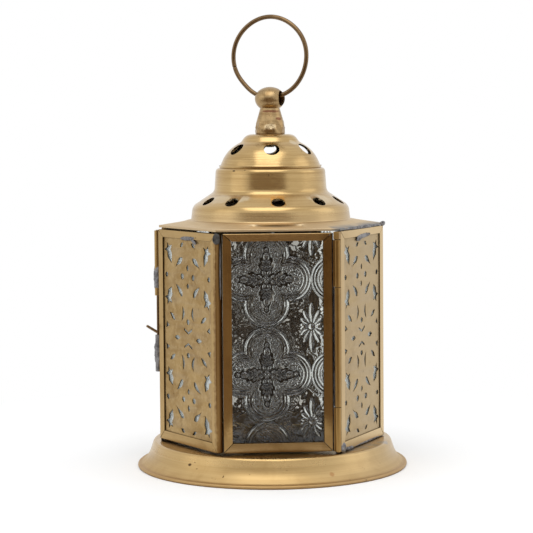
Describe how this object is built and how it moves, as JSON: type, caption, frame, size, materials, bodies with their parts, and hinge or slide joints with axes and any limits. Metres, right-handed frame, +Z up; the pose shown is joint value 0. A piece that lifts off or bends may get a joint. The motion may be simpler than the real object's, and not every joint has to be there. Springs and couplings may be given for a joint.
{
  "type": "hexagonal lantern",
  "caption": "Hexagonal brass lantern with glazed and pierced sides, a hinged door leaf, a wire catch, a vented stepped dome and a hanging ring.",
  "frame": {"origin": "centre of the round foot, on the surface the lantern stands on", "axes": "+Z up along the lantern's axis, -Y out of the glazed front of the door, +X towards the hinge side"},
  "size_m": [0.1336, 0.1336, 0.2223],
  "materials": {
    "spun_brass": "antiqued, brushed in turning",
    "frame_brass": "antiqued, folded sheet",
    "dark_brass": "antiqued, dark",
    "pierced_brass": "matt, pierced",
    "pressed_glass": "clear, pressed pattern",
    "soldered_brass": "grey with solder",
    "plain_steel": "plain"
  },
  "bodies": {
    "lantern": {"base_pan": "spun_brass", "candle_cup": "spun_brass", "roof_dome": "spun_brass", "roof_cap": "spun_brass", "finial": "spun_brass", "finial_washer": "plain_steel", "finial_nut": "plain_steel", "right_front_left_stile": "frame_brass", "right_front_right_stile": "frame_brass", "right_front_bottom_rail": "frame_brass", "right_front_top_rail": "frame_brass", "right_front_fretwork": "pierced_brass", "right_front_glass": "pressed_glass", "right_back_left_stile": "frame_brass", "right_back_right_stile": "frame_brass", "right_back_bottom_rail": "frame_brass", "right_back_top_rail": "frame_brass", "right_back_glass": "pressed_glass", "back_left_stile": "frame_brass", "back_right_stile": "frame_brass", "back_bottom_rail": "frame_brass", "back_top_rail": "frame_brass", "back_fretwork": "pierced_brass", "back_glass": "pressed_glass", "left_back_left_stile": "frame_brass", "left_back_right_stile": "frame_brass", "left_back_bottom_rail": "frame_brass", "left_back_top_rail": "frame_brass", "left_back_glass": "pressed_glass", "catch_tube_lower": "soldered_brass", "catch_tube_upper": "soldered_brass", "hinge_post_knuckle": "dark_brass", "hinge_top_block": "dark_brass", "hinge_pin": "dark_brass"},
    "door": {"door_front_left_stile": "dark_brass", "door_front_right_stile": "dark_brass", "door_front_bottom_rail": "dark_brass", "door_front_top_rail": "dark_brass", "door_front_glass": "pressed_glass", "door_side_left_stile": "frame_brass", "door_side_right_stile": "frame_brass", "door_side_bottom_rail": "frame_brass", "door_side_top_rail": "frame_brass", "door_side_fretwork": "pierced_brass", "door_side_glass": "pressed_glass", "door_knuckle_lower": "dark_brass", "door_knuckle_upper": "dark_brass"},
    "ring": {"hanging_ring": "dark_brass"},
    "catch": {"catch_wire": "dark_brass"}
  },
  "joints": [
    {"name": "door_hinge", "type": "hinge", "parent": "lantern", "child": "door", "pos_m": [0.02777, -0.04842, 0.066], "axis": [0, 0, 1], "range_deg": [0, 120]},
    {"name": "ring_swing", "type": "hinge", "parent": "lantern", "child": "ring", "pos_m": [0, 0, 0.181], "axis": [0.866, -0.5, 0], "range_deg": [-110, 110]},
    {"name": "catch_turn", "type": "hinge", "parent": "lantern", "child": "catch", "pos_m": [-0.05617, 0.00111, 0.066], "axis": [0, 0, 1], "range_deg": [0, 80]}
  ]
}
